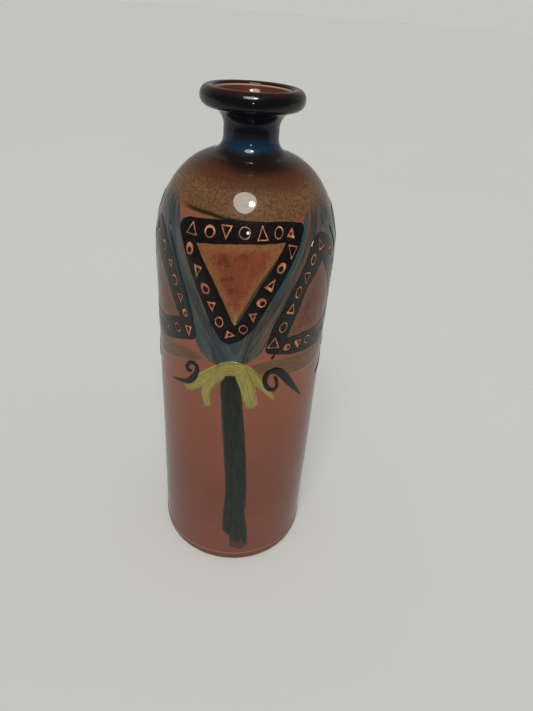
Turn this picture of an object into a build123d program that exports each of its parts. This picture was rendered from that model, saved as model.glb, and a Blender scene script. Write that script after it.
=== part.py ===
from build123d import *
import math
import os

# A wheel-thrown bottle vase, built as a potter builds it: five clay sections luted together with
# stepped joints, a glaze lining inside, and the slip decoration laid on the outside as thin
# deposits, each with its own outline. Millimetres, +Z up, origin at the centre of the foot.

# Driving dimensions
HEIGHT = 300.0
BODY_RADIUS = 50.4
WALL = 5.0
FLOOR = 7.0
FOOT_ROUNDING = 4.0
FOOT_RING_WIDTH = 9.0
FOOT_RECESS = 1.2
SHOULDER_BASE = 220.0
SHOULDER_TOP = 270.0
NECK_RADIUS = 14.3
NECK_WALL = 4.5
NECK_SPREAD = 6.0
NECK_TOP = 281.0
LIP_RADIUS = 26.5
LIP_HALF_WIDTH = 4.05
LIP_HALF_HEIGHT = 4.75
MOUTH_RADIUS = 19.8
RIM_RISE = 1.4
FUNNEL_RISE = 8.0
FUNNEL_LEAN = 1.6
JOINT_STEP = 4.0
LINING = 0.4
SLIP = 0.3
REPEATS = 3
FRONT_AZIMUTH = -4.0

# Sizes worked out from them
INNER_RADIUS = BODY_RADIUS - WALL
BORE_RADIUS = NECK_RADIUS - NECK_WALL
SHOULDER_WIDTH = BODY_RADIUS - NECK_RADIUS
SHOULDER_HEIGHT = SHOULDER_TOP - SHOULDER_BASE
SOCKET_RADIUS = BORE_RADIUS + NECK_WALL / 2
COLLAR_RADIUS = NECK_RADIUS + NECK_SPREAD
COLLAR_REACH = NECK_SPREAD / SHOULDER_WIDTH
COLLAR_RISE = math.sqrt(1 - COLLAR_REACH**2)
COLLAR_Z = SHOULDER_BASE + SHOULDER_HEIGHT * COLLAR_RISE
COLLAR_SLOPE = math.atan(SHOULDER_HEIGHT / SHOULDER_WIDTH * COLLAR_REACH / COLLAR_RISE)
FILLET_TURN = math.pi / 2 - COLLAR_SLOPE
FILLET_RADIUS = NECK_SPREAD / (1 - math.cos(FILLET_TURN))
FILLET_TOP = COLLAR_Z + FILLET_RADIUS * math.sin(FILLET_TURN)
LIP_CENTRE = (LIP_RADIUS - LIP_HALF_WIDTH, HEIGHT - LIP_HALF_HEIGHT)
MOUTH_EDGE = HEIGHT - RIM_RISE
FUNNEL_BASE = NECK_TOP + JOINT_STEP / 2

# Outlines of the decoration, as (distance round the body, height), measured from the axis of each
# motif, and the rounding of each corner
DOWN_TRIANGLE = [(-35.0, 243.5), (36.5, 245.5), (-2.0, 169.0)]
DOWN_ROUNDING = [3.0, 3.0, 10.0]
DOWN_FIELD = [(-22.5, 234.5), (24.0, 237.0), (-0.5, 193.5)]
UP_TRIANGLE = [(-38.0, 174.0), (38.0, 174.0), (0.0, 262.0)]
UP_ROUNDING = [4.0, 4.0, 14.0]
UP_FIELD = [(-24.5, 185.0), (24.5, 185.0), (0.0, 228.0)]
FIELD_ROUNDING = [0.8, 0.8, 0.8]
WASH_OUTER = [(-43.0, 241.0), (-17.5, 182.0), (-12.5, 171.5), (11.0, 172.5), (43.0, 241.0)]
WASH_ROUNDING = [0.5, 6.0, 6.0, 8.0, 0.5]
WASH_GAP = 0.6
LEAF_SPRAY = [
    (-30.0, 145.0), (-23.0, 142.8), (-16.6, 150.2), (-14.0, 136.2), (-10.6, 140.4), (-11.2, 154.0),
    (0.0, 161.5), (4.6, 161.3), (5.3, 149.0), (9.2, 140.3), (14.4, 140.9), (12.8, 156.8),
    (24.3, 143.7), (18.4, 156.0), (12.5, 165.0), (4.5, 171.5), (-5.0, 170.2), (-20.4, 155.5),
]
STEM = [(-7.4, 160.0), (3.8, 160.8), (7.6, 110.0), (14.8, 15.0), (2.4, 14.0), (-5.2, 120.0)]
LEFT_CURL = [(-42.6, 145.2), (-28.7, 149.5), (-21.7, 158.5), (-26.5, 164.1), (-28.5, 158.6)]
RIGHT_CURL = [(45.4, 138.9), (33.2, 154.5), (20.7, 163.9), (18.2, 156.6), (22.6, 151.6)]
CURL_WIDTH = 2.6
OLIVE_BAND = [
    (-34.0, 167.0), (-20.0, 164.5), (-6.0, 156.0), (6.0, 155.0), (16.5, 166.5), (34.0, 168.0),
    (32.0, 171.5), (0.0, 171.0), (-31.0, 171.5),
]


def turned(outline):
    """A solid of revolution about the vase's axis from an outline drawn as (radius, height)."""
    section = make_face(Plane.XZ * outline)
    return revolve(section, Axis.Z)


def dome(grow=0.0):
    """The shoulder's elliptical section up to the neck collar, grown outwards by a little."""
    wide = SHOULDER_WIDTH + grow
    high = SHOULDER_HEIGHT + grow
    sweep = math.degrees(math.acos(NECK_SPREAD / wide))
    return EllipticalCenterArc((NECK_RADIUS, SHOULDER_BASE), wide, high, arc_size=sweep)


def base_disc():
    """Floor slab with a rounded foot edge, a flat foot ring and a step that the wall stands on."""
    ring_inner = BODY_RADIUS - FOOT_ROUNDING - FOOT_RING_WIDTH
    foot_edge = RadiusArc(
        (BODY_RADIUS - FOOT_ROUNDING, 0), (BODY_RADIUS, FOOT_ROUNDING), -FOOT_ROUNDING
    )
    rest = Polyline(
        (BODY_RADIUS, FOOT_ROUNDING),
        (INNER_RADIUS, FOOT_ROUNDING),
        (INNER_RADIUS, FLOOR),
        (0, FLOOR),
        (0, FOOT_RECESS),
        (ring_inner, FOOT_RECESS),
        (ring_inner + FOOT_RECESS, 0),
        (BODY_RADIUS - FOOT_ROUNDING, 0),
    )
    return turned(foot_edge + rest)


def body_wall():
    """Thrown cylinder; its top keeps an inner tongue that the shoulder drops over."""
    tongue = INNER_RADIUS + WALL / 2
    return turned(Polyline(
        (INNER_RADIUS, FOOT_ROUNDING),
        (BODY_RADIUS, FOOT_ROUNDING),
        (BODY_RADIUS, SHOULDER_BASE),
        (tongue, SHOULDER_BASE),
        (tongue, SHOULDER_BASE + JOINT_STEP),
        (INNER_RADIUS, SHOULDER_BASE + JOINT_STEP),
        close=True,
    ))


def dome_inside(inset=0.0):
    """The shoulder's inner line, from the wall's joint up to the collar's socket."""
    start = SHOULDER_BASE + JOINT_STEP
    wide = INNER_RADIUS - SOCKET_RADIUS - inset
    high = COLLAR_Z - JOINT_STEP - start - inset
    return EllipticalCenterArc((SOCKET_RADIUS, start), wide, high, arc_size=90)


def shoulder_dome():
    """Domed shoulder, open at the top where the neck collar sits."""
    tongue = INNER_RADIUS + WALL / 2
    socket_end = COLLAR_Z - JOINT_STEP
    rest = Polyline((SOCKET_RADIUS, socket_end), (SOCKET_RADIUS, COLLAR_Z), (COLLAR_RADIUS, COLLAR_Z))
    joint = Polyline(
        (BODY_RADIUS, SHOULDER_BASE),
        (tongue, SHOULDER_BASE),
        (tongue, SHOULDER_BASE + JOINT_STEP),
        (INNER_RADIUS, SHOULDER_BASE + JOINT_STEP),
    )
    return turned(joint + dome_inside() + rest + dome())


def neck_foot(grow=0.0):
    """The concave curve from the shoulder up into the neck, tangent to both."""
    centre = (NECK_RADIUS + FILLET_RADIUS, FILLET_TOP)
    radius = FILLET_RADIUS - grow
    turn = math.degrees(FILLET_TURN)
    return CenterArc(centre, radius, 180, turn)


def neck_collar():
    """Short neck with a curved foot on the shoulder and a tongue down into its socket."""
    rest = Polyline(
        (NECK_RADIUS, FILLET_TOP),
        (NECK_RADIUS, NECK_TOP),
        (SOCKET_RADIUS, NECK_TOP),
        (SOCKET_RADIUS, FUNNEL_BASE),
        (BORE_RADIUS, FUNNEL_BASE),
        (BORE_RADIUS, COLLAR_Z - JOINT_STEP),
        (SOCKET_RADIUS, COLLAR_Z - JOINT_STEP),
        (SOCKET_RADIUS, COLLAR_Z),
        (COLLAR_RADIUS, COLLAR_Z),
    )
    return turned(neck_foot() + rest)


def mouth_funnel(inset=0.0):
    """The mouth's inside line: up out of the bore, then opening to the inner edge of the lip."""
    return Bezier(
        (BORE_RADIUS - inset, FUNNEL_BASE),
        (BORE_RADIUS - inset, FUNNEL_BASE + FUNNEL_RISE),
        (MOUTH_RADIUS - FUNNEL_LEAN - inset, FUNNEL_BASE + FUNNEL_RISE),
        (MOUTH_RADIUS - inset, MOUTH_EDGE),
    )


def rolled_lip():
    """Flared mouth that ends in a thick rolled lip."""
    flare_width = LIP_CENTRE[0] - NECK_RADIUS
    flare_height = HEIGHT - 2 * LIP_HALF_HEIGHT - NECK_TOP
    flare_centre = (LIP_CENTRE[0], NECK_TOP)
    flare = EllipticalCenterArc(flare_centre, flare_width, flare_height, start_angle=90, arc_size=90)
    roll = EllipticalCenterArc(
        LIP_CENTRE, LIP_HALF_WIDTH, LIP_HALF_HEIGHT, start_angle=-90, arc_size=180
    )
    rim_width = LIP_CENTRE[0] - MOUTH_RADIUS
    rim_centre = (LIP_CENTRE[0], MOUTH_EDGE)
    rim = EllipticalCenterArc(rim_centre, rim_width, RIM_RISE, start_angle=90, arc_size=90)
    joint = Polyline(
        (NECK_RADIUS, NECK_TOP),
        (SOCKET_RADIUS, NECK_TOP),
        (SOCKET_RADIUS, FUNNEL_BASE),
        (BORE_RADIUS, FUNNEL_BASE),
    )
    return turned(flare + roll + rim + mouth_funnel() + joint)


def inner_glaze():
    """Glaze lining that makes the clay watertight, from the floor up to the mouth."""
    socket_end = COLLAR_Z - JOINT_STEP
    wall_top = SHOULDER_BASE + JOINT_STEP
    on_wall = Polyline((0, FLOOR), (INNER_RADIUS, FLOOR), (INNER_RADIUS, wall_top))
    on_bore = Polyline(
        (SOCKET_RADIUS, socket_end), (BORE_RADIUS, socket_end), (BORE_RADIUS, FUNNEL_BASE)
    )
    edge = Line((MOUTH_RADIUS, MOUTH_EDGE), (MOUTH_RADIUS - LINING, MOUTH_EDGE))
    bore_face = Polyline(
        (BORE_RADIUS - LINING, FUNNEL_BASE),
        (BORE_RADIUS - LINING, socket_end - LINING),
        (SOCKET_RADIUS, socket_end - LINING),
    )
    wall_face = Polyline(
        (INNER_RADIUS - LINING, wall_top),
        (INNER_RADIUS - LINING, FLOOR + LINING),
        (0, FLOOR + LINING),
        (0, FLOOR),
    )
    outside = on_wall + dome_inside() + on_bore + mouth_funnel()
    inside = mouth_funnel(LINING) + bore_face + dome_inside(LINING) + wall_face
    return turned(outside + edge + inside)


def neck_blue_slip():
    """Blue slip banded round the neck, between the shoulder and the lip's flare."""
    foot = neck_foot()
    outer_foot = neck_foot(SLIP)
    top = Polyline(
        (NECK_RADIUS, FILLET_TOP),
        (NECK_RADIUS, NECK_TOP),
        (NECK_RADIUS + SLIP, NECK_TOP),
        (NECK_RADIUS + SLIP, FILLET_TOP),
    )
    return turned(foot + top + outer_foot + Line(outer_foot @ 1, foot @ 1))


def slip_skin():
    """The space that outside decoration may fill: a thin shell over the wall and the shoulder."""
    inner = dome()
    outer = dome(SLIP)
    wall = Polyline(
        (BODY_RADIUS, SHOULDER_BASE),
        (BODY_RADIUS, FOOT_ROUNDING),
        (BODY_RADIUS + SLIP, FOOT_ROUNDING),
        (BODY_RADIUS + SLIP, SHOULDER_BASE),
    )
    return turned(wall + outer + Line(outer @ 1, inner @ 1) + inner)


def shoulder_radius(height):
    """Radius of the outside at a height on the wall or the shoulder."""
    rise = max(0.0, height - SHOULDER_BASE) / SHOULDER_HEIGHT
    return NECK_RADIUS + SHOULDER_WIDTH * math.sqrt(max(0.0, 1 - rise**2))


def on_front(points):
    """Outline points seen from the front, where each sits at its own angle round the vase."""
    return [(shoulder_radius(z) * math.sin(a / BODY_RADIUS), z) for a, z in points]


def rounded(points, radii):
    """A flat face from an outline with its corners rounded."""
    return make_face(FilletPolyline(*on_front(points), radius=radii, close=True))


def plain(points):
    """A flat face from an outline with sharp corners."""
    return make_face(Polyline(*on_front(points), close=True))


def stroke(points, width):
    """A flat face swept along a brush stroke."""
    path = Spline(*on_front(points))
    return trace(path, width)


def laid_on(skin, face, azimuth):
    """A deposit of slip with the face's outline, turned to its place round the vase."""
    block = extrude(Plane.XZ * face, BODY_RADIUS + 2 * SLIP)
    turn = Rot(0, 0, azimuth)
    return skin & (turn * block)


def frieze_faces():
    """Flat outlines of one inverted triangle's motifs, and of one upright triangle's."""
    down = rounded(DOWN_TRIANGLE, DOWN_ROUNDING)
    down_field = rounded(DOWN_FIELD, FIELD_ROUNDING)
    up = rounded(UP_TRIANGLE, UP_ROUNDING)
    up_field = rounded(UP_FIELD, FIELD_ROUNDING)
    leaves = plain(LEAF_SPRAY)
    wash = rounded(WASH_OUTER, WASH_ROUNDING) - offset(down, WASH_GAP) - leaves
    stem = plain(STEM) - leaves
    left_curl = stroke(LEFT_CURL, CURL_WIDTH) - leaves
    right_curl = stroke(RIGHT_CURL, CURL_WIDTH) - leaves
    under_down = {
        "black_frame_down": down - down_field,
        "ochre_field_down": down_field,
        "blue_wash": wash,
        "leaf_spray": leaves,
        "stem": stem,
        "left_curl": left_curl,
        "right_curl": right_curl,
    }
    under_up = {
        "black_frame_up": up - up_field,
        "ochre_field_up": up_field,
        "olive_band": plain(OLIVE_BAND),
    }
    return under_down, under_up


def decoration(skin):
    """Every motif of the frieze, repeated round the vase."""
    under_down, under_up = frieze_faces()
    step = 360 / REPEATS
    nodes = {}
    for index in range(REPEATS):
        azimuth = FRONT_AZIMUTH + index * step
        for name, face in under_down.items():
            nodes[f"{name}_{index + 1}"] = laid_on(skin, face, azimuth)
        for name, face in under_up.items():
            nodes[f"{name}_{index + 1}"] = laid_on(skin, face, azimuth + step / 2)
    return nodes


def main():
    nodes = {
        "base_disc": base_disc(),
        "body_wall": body_wall(),
        "shoulder_dome": shoulder_dome(),
        "neck_collar": neck_collar(),
        "rolled_lip": rolled_lip(),
        "inner_glaze": inner_glaze(),
        "neck_blue_slip": neck_blue_slip(),
    }
    nodes.update(decoration(slip_skin()))
    os.makedirs("parts", exist_ok=True)
    for name, shape in nodes.items():
        export_step(shape, f"parts/{name}.step")
        print(f"{name}: {shape.volume:.1f} mm3")


main()
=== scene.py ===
# %% [markdown]
# # A bottle vase with scratched slip triangles
# The vase is thrown red clay: a straight body, a domed shoulder, a short neck and a rolled lip.
# Coloured slips are brushed on the leather-hard clay, some are scratched through with a needle,
# and a clear glaze is fired over everything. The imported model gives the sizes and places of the
# clay, so it is loaded first, and every later cell works from it.

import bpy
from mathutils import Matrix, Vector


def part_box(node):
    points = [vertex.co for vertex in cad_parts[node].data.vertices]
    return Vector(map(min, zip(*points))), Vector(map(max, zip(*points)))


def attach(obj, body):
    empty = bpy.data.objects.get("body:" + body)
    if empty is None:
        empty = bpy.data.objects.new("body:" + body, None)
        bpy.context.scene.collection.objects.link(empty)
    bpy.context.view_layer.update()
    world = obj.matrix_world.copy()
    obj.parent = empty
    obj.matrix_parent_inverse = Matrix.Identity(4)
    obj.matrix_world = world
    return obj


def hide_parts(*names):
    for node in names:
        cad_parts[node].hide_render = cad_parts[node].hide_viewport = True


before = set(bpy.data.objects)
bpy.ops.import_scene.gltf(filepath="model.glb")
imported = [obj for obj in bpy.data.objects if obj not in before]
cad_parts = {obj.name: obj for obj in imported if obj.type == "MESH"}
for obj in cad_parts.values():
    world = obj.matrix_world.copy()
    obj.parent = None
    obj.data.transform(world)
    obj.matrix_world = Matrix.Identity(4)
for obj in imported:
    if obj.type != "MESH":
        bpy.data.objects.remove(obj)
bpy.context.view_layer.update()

# %% [markdown]
# ## The vase's own measures
# Every later cell works from the boxes of the clay pieces: where the wall meets the foot, where
# the shoulder starts, how wide the collar and the lip are. A few sizes that a box can't give,
# such as the wall's thickness, are stated once in millimetres.

# %% Measures taken from the frame
import math

import bmesh
import bpy
from mathutils import Matrix, Vector, noise
from mathutils.geometry import interpolate_bezier

MM = 0.001
WALL_LOW, WALL_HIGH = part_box("body_wall")
DOME_LOW, DOME_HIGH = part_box("shoulder_dome")
COLLAR_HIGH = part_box("neck_collar")[1]
LIP_LOW, LIP_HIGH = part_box("rolled_lip")
FLOOR_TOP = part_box("base_disc")[1].z
LINING_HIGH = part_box("inner_glaze")[1]

BODY_R = WALL_HIGH.x
FOOT_ROUND = WALL_LOW.z
SHOULDER_Z = DOME_LOW.z
JOINT_STEP = WALL_HIGH.z - SHOULDER_Z
COLLAR_Z = DOME_HIGH.z
COLLAR_R = COLLAR_HIGH.x
NECK_TOP = LIP_LOW.z
LIP_R = LIP_HIGH.x
HEIGHT = LIP_HIGH.z
INNER_R = LINING_HIGH.x
MOUTH_EDGE = LINING_HIGH.z

NECK_SPREAD = 6 * MM
WALL = 5 * MM
NECK_WALL = 4.5 * MM
LIP_HALF_WIDE = 4.05 * MM
LIP_HALF_HIGH = 4.75 * MM
MOUTH_R = 19.8 * MM
LINING = 0.4 * MM
FOOT_BEAD = 8.3 * MM
SLIP_LINE = 247.4 * MM

NECK_R = COLLAR_R - NECK_SPREAD
BORE_R = NECK_R - NECK_WALL
SOCKET_R = BORE_R + NECK_WALL / 2
SOCKET_Z = COLLAR_Z - JOINT_STEP
SHOULDER_WIDE = BODY_R - NECK_R
COLLAR_REACH = NECK_SPREAD / SHOULDER_WIDE
COLLAR_RISE = math.sqrt(1 - COLLAR_REACH**2)
SHOULDER_HIGH = (COLLAR_Z - SHOULDER_Z) / COLLAR_RISE
FOOT_TURN = math.pi / 2 - math.atan(SHOULDER_HIGH / SHOULDER_WIDE * COLLAR_REACH / COLLAR_RISE)
FOOT_CURVE = NECK_SPREAD / (1 - math.cos(FOOT_TURN))
FOOT_CENTRE = (NECK_R + FOOT_CURVE, COLLAR_Z + FOOT_CURVE * math.sin(FOOT_TURN))
FRONT = math.radians(-4)
REPEATS = 3
REPEAT_ANGLE = 2 * math.pi / REPEATS
print("body radius:", round(BODY_R / MM, 2), "neck radius:", round(NECK_R / MM, 2))


def repeats(shift=0.0):
    """The number and the azimuth of each of the three places round the vase."""
    return [(n, FRONT + (n - 1 + shift) * REPEAT_ANGLE) for n in range(1, REPEATS + 1)]

# %% [markdown]
# ## The surface that the hands left
# A thrown pot is never a perfect solid of revolution. It keeps shallow rings from the fingers
# and is a little oval. One function gives that swell at any angle and height, and both the clay
# and the slip laid on it use it, so a slip never floats off the pot or sinks into it.

# %% The thrown surface
RING_DEEP, RING_PITCH, RING_SLANT = 0.035, 2.4 * MM, 0.7
OVAL_DEEP, OVAL_TURN = 0.16, 1.1
DENT_DEEP, DENT_HIGH = 0.28, 55 * MM


def swell(angle, z):
    """How far the thrown clay stands out or dips at a place, in metres."""
    rings = RING_DEEP * math.sin(z / RING_PITCH + RING_SLANT * math.sin(angle))
    oval = OVAL_DEEP * math.sin(2 * angle + OVAL_TURN)
    dent = noise.noise(Vector((math.sin(angle), math.cos(angle), z / DENT_HIGH)))
    return (rings + oval + DENT_DEEP * dent) * MM


def dome_radius(z):
    """Radius of the untouched form at a height, on the wall or the shoulder."""
    rise = max(0.0, z - SHOULDER_Z) / SHOULDER_HIGH
    return NECK_R + SHOULDER_WIDE * math.sqrt(max(0.0, 1 - rise * rise))


def on_pot(x, z, lift=0.0, azimuth=FRONT):
    """A place on the outside: x runs round the body from a motif's axis, z is the height."""
    angle = azimuth + x / BODY_R
    radius = dome_radius(z)
    out = (radius - NECK_R) / SHOULDER_WIDE**2
    up = max(0.0, z - SHOULDER_Z) / SHOULDER_HIGH**2
    lean = math.hypot(out, up)
    radius += swell(angle, z) * radius / BODY_R + lift * out / lean
    return Vector((radius * math.sin(angle), -radius * math.cos(angle), z + lift * up / lean))


def pot_normal(x, z, azimuth):
    """The direction straight out of the thrown surface at a place."""
    step = 0.4 * MM
    along = on_pot(x + step, z, 0, azimuth) - on_pot(x - step, z, 0, azimuth)
    above = on_pot(x, z + step, 0, azimuth) - on_pot(x, z - step, 0, azimuth)
    return along.cross(above).normalized()


print("swell at the front, mm:", round(swell(FRONT, 0.1) / MM, 3))

# %% [markdown]
# ## Writing materials as sums
# The glazes are mixed from many masks: a height, a speckle, a streak. Writing them as plain
# expressions keeps them readable. `Wire` wraps one socket and turns `+ - * /` into Math nodes,
# and `Recipe` holds one material and makes any other node from its type, settings and sockets.

# %% Wires and recipes
def arithmetic(operation, swapped=False):
    """A method of a wire that adds one Math node for two values."""
    def method(self, other):
        return self.math(operation, *((other, self) if swapped else (self, other)))
    return method


class Wire:
    """One output socket; arithmetic on it adds Math nodes to its tree."""

    def __init__(self, recipe, socket):
        self.recipe = recipe
        self.socket = socket

    def math(self, operation, *values):
        sockets = dict(enumerate(values))
        return self.recipe.add("ShaderNodeMath", {"operation": operation}, sockets)

    __add__ = __radd__ = arithmetic("ADD")
    __mul__ = __rmul__ = arithmetic("MULTIPLY")
    __sub__ = arithmetic("SUBTRACT")
    __rsub__ = arithmetic("SUBTRACT", swapped=True)
    __truediv__ = arithmetic("DIVIDE")
    least = arithmetic("MINIMUM")

    def size(self):
        """The value without its sign."""
        return self.math("ABSOLUTE", self)

    def step(self, low, high):
        """0 below low, 1 above high, with a smooth rise between."""
        settings = {"interpolation_type": "SMOOTHSTEP"}
        sockets = {"Value": self, "From Min": low, "From Max": high}
        return self.recipe.add("ShaderNodeMapRange", settings, sockets)


class Recipe:
    """One material: its Principled shader and the nodes that feed it. It may hold another tree."""

    def __init__(self, name, tree=None):
        self.tree = tree
        if tree is None:
            self.material = bpy.data.materials.new(name)
            self.material.use_nodes = True
            self.tree = self.material.node_tree
            self.shader = self.tree.nodes["Principled BSDF"]

    def add(self, kind, settings=None, sockets=None, output=0):
        """Adds a node, sets it, feeds its sockets and returns one of its outputs."""
        node = self.tree.nodes.new(kind)
        for key, value in (settings or {}).items():
            setattr(node, key, value)
        for key, value in (sockets or {}).items():
            self.feed(node.inputs[key], value)
        return Wire(self, node.outputs[output])

    def feed(self, socket, value):
        if isinstance(value, Wire):
            self.tree.links.new(value.socket, socket)
        elif isinstance(value, tuple) and len(value) == 3 and socket.type == "RGBA":
            socket.default_value = (*value, 1)
        else:
            socket.default_value = value

    def mix(self, factor, first, second):
        """Blends two colours."""
        sockets = {0: factor, 6: first, 7: second}
        return self.add("ShaderNodeMix", {"data_type": "RGBA"}, sockets, output=2)

    def between(self, factor, first, second):
        """Blends two numbers."""
        return self.add("ShaderNodeMix", {"data_type": "FLOAT"}, {0: factor, 2: first, 3: second})

    def place(self):
        return self.add("ShaderNodeTexCoord", output=3)

    def apart(self, vector):
        """The three numbers of a vector."""
        node = self.tree.nodes.new("ShaderNodeSeparateXYZ")
        self.feed(node.inputs[0], vector)
        return [Wire(self, socket) for socket in node.outputs]

    def scaled(self, vector, scale):
        """A pattern's coordinates, stretched along each axis."""
        return self.add("ShaderNodeMapping", None, {"Vector": vector, "Scale": scale})

    def clouds(self, vector, size, detail=3.0, roughness=0.5, offset=0.0):
        """Soft noise, from 0 to 1, with features of about a size in metres."""
        sockets = {"Vector": vector, "W": offset, "Scale": 1 / size}
        sockets.update({"Detail": detail, "Roughness": roughness})
        return self.add("ShaderNodeTexNoise", {"noise_dimensions": "4D"}, sockets)

    def finish(self, colour, roughness, coat=1.0, bump=None, depth=0.03 * MM):
        """Feeds the shader: what varies goes through sockets, what doesn't is set on it."""
        shader = self.shader.inputs
        self.feed(shader["Base Color"], colour)
        self.feed(shader["Roughness"], roughness)
        self.feed(shader["Coat Weight"], coat)
        shader["Coat Roughness"].default_value = 0.035
        shader["Coat IOR"].default_value = 1.46
        shader["Specular IOR Level"].default_value = 0.06
        if bump is not None:
            sockets = {"Height": bump, "Distance": depth}
            self.feed(shader["Normal"], self.add("ShaderNodeBump", None, sockets))
        return self.material


def started(name, grain, detail=3.0):
    """A new recipe with its place, its height and a mottle of a grain size."""
    recipe = Recipe(name)
    place = recipe.place()
    return recipe, place, recipe.apart(place)[2], recipe.clouds(place, grain, detail, 0.6)


# %% [markdown]
# ## Colours of the slips and glazes
# A potter mixes a few oxides: iron for the browns and black, cobalt for the blue, a little
# copper or stain for the greens. The colours are kept together here, as the shader uses them.

# %% The palette
TERRACOTTA = (0.194, 0.055, 0.033)
TERRACOTTA_DARK = (0.158, 0.050, 0.032)
TERRACOTTA_WARM = (0.275, 0.092, 0.050)
RAW_CLAY = (0.330, 0.150, 0.085)
SCRATCHED_CLAY = (0.560, 0.215, 0.090)
IRON_BROWN = (0.085, 0.027, 0.014)
IRON_DARK = (0.016, 0.009, 0.007)
OLIVE_TAN = (0.205, 0.102, 0.043)
OLIVE_DARK = (0.100, 0.050, 0.024)
GREEN_LINE = (0.014, 0.019, 0.009)
NAVY = (0.004, 0.006, 0.011)
NAVY_LIGHT = (0.008, 0.036, 0.082)
BLACK_SLIP = (0.0050, 0.0045, 0.0050)
CHARCOAL = (0.006, 0.008, 0.006)
CHARCOAL_GREEN = (0.014, 0.020, 0.015)
OCHRE = (0.260, 0.105, 0.040)
FIELD_RED = (0.225, 0.058, 0.025)
WASH_BLUE = (0.022, 0.034, 0.036)
WASH_PALE = (0.082, 0.088, 0.082)
MAUVE = (0.125, 0.082, 0.062)
TURQUOISE = (0.016, 0.070, 0.095)
WASH_COOL = (0.028, 0.056, 0.074)
DUSK_GREY = (0.034, 0.036, 0.034)
SHADE_BROWN = (0.030, 0.014, 0.010)
POOL_CREAM = (0.300, 0.270, 0.140)
LEAF = (0.360, 0.300, 0.080)
LEAF_DARK = (0.170, 0.145, 0.040)
OLIVE_BAND = (0.150, 0.086, 0.036)
OLIVE_GREEN = (0.120, 0.110, 0.020)
AMBER = (0.120, 0.036, 0.018)
# Darker amber for painted shade down the bore.
AMBER_SHADE = (0.055, 0.017, 0.010)
WORN_RIM = (0.660, 0.400, 0.290)
BLACK_THIN = (0.012, 0.011, 0.0105)
PINHOLE = (0.060, 0.035, 0.022)
SCRATCHED_DEEP = (0.360, 0.115, 0.050)
# Pale cream for highlights painted on the scratched clay.
SCRATCHED_HIGHLIGHT = (0.800, 0.500, 0.320)
SLIP_CRUMB = (0.100, 0.035, 0.018)
OCHRE_IRON = (0.085, 0.034, 0.016)
OLIVE_THIN = (0.080, 0.048, 0.022)
EDGE_DARK = (0.028, 0.028, 0.012)
EDGE_OLIVE = (0.075, 0.070, 0.028)
NAVY_DEEP = (0.005, 0.008, 0.012)
NAVY_LINE = (0.010, 0.019, 0.028)
FLOOR_SHADE = (0.650, 0.670, 0.650)
FLOOR_PALE = (0.690, 0.710, 0.690)
FLOOR_MIRRORED = (0.040, 0.040, 0.040)
WARM_WHITE = (1.0, 0.97, 0.92)
ROOM_WHITE = (1.0, 1.0, 0.96)
WHITE = (1.0, 1.0, 1.0)
print("darkest slip:", BLACK_SLIP)

# %% [markdown]
# ## The glazed clay
# The whole outside shares one finish that changes with height, because the potter dips and
# brushes the pot as it turns: bare red clay under clear glaze below, olive and brown slips
# flecked with iron over the shoulder, nearly black at the collar. It reads the piece's own
# object coordinates, and every piece shares the vase's frame, so colours run on unbroken from
# foot to wall to shoulder.

# %% Finish of the clay body
def flecks(recipe, place, size, amount):
    """Small iron specks: 1 in a speck and 0 between."""
    settings = {"feature": "F1"}
    sockets = {"Vector": place, "Scale": 1 / size, "Randomness": 1.0}
    near = recipe.add("ShaderNodeTexVoronoi", settings, sockets)
    patchy = recipe.clouds(place, 2.2 * size, 1.0, 0.5, 3.0)
    return (1 - near.step(0.10, 0.34)) * patchy.step(1 - amount, 1.08 - amount)


def clay_colour(recipe, place, height):
    """Red clay under clear glaze, clouded by the kiln, with faint turning marks, a painted
    highlight along the foot bead and painted shade below it.
    """
    cloud = recipe.clouds(place, 45 * MM, 3.0, 0.55)
    turned = recipe.clouds(recipe.scaled(place, (8.0, 8.0, 260.0)), 1.0, 2.0, 0.5)
    base = recipe.mix(cloud.step(0.32, 0.70), TERRACOTTA_DARK, TERRACOTTA)
    base = recipe.mix(turned.step(0.35, 0.80) * 0.25, base, TERRACOTTA_DARK)
    warm = height.step(0.050, 0.175) * (0.55 + cloud * 0.5)
    base = recipe.mix(warm.least(1.0), base, TERRACOTTA_WARM)
    # A pale line along the foot bead: a painted highlight where the bead catches the light.
    bead_highlight = 1 - (height - FOOT_BEAD).size().step(0.4 * MM, 1.2 * MM)
    base = recipe.mix(bead_highlight * 0.50, base, RAW_CLAY)
    # Darker brown below the bead: painted shade on the foot's rounding.
    below = 1 - height.step(FOOT_BEAD - 2.0 * MM, FOOT_BEAD - 0.6 * MM)
    return recipe.mix(below * 0.45, base, IRON_BROWN)


def shoulder_colour(recipe, place, wavy):
    """Olive-tan slip that deepens through brown to nearly black at the collar."""
    speckle = recipe.clouds(place, 1.3 * MM, 4.0, 0.7, 5.0)
    olive = recipe.mix(speckle.step(0.36, 0.66), OLIVE_DARK, OLIVE_TAN)
    brown = recipe.mix(speckle.step(0.34, 0.70) * 0.55, IRON_BROWN, OLIVE_DARK)
    colour = recipe.mix(wavy.step(SLIP_LINE + 8.6 * MM, SLIP_LINE + 16.6 * MM), olive, brown)
    return recipe.mix(wavy.step(SLIP_LINE + 16.1 * MM, SLIP_LINE + 21.6 * MM), colour, IRON_DARK)


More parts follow.
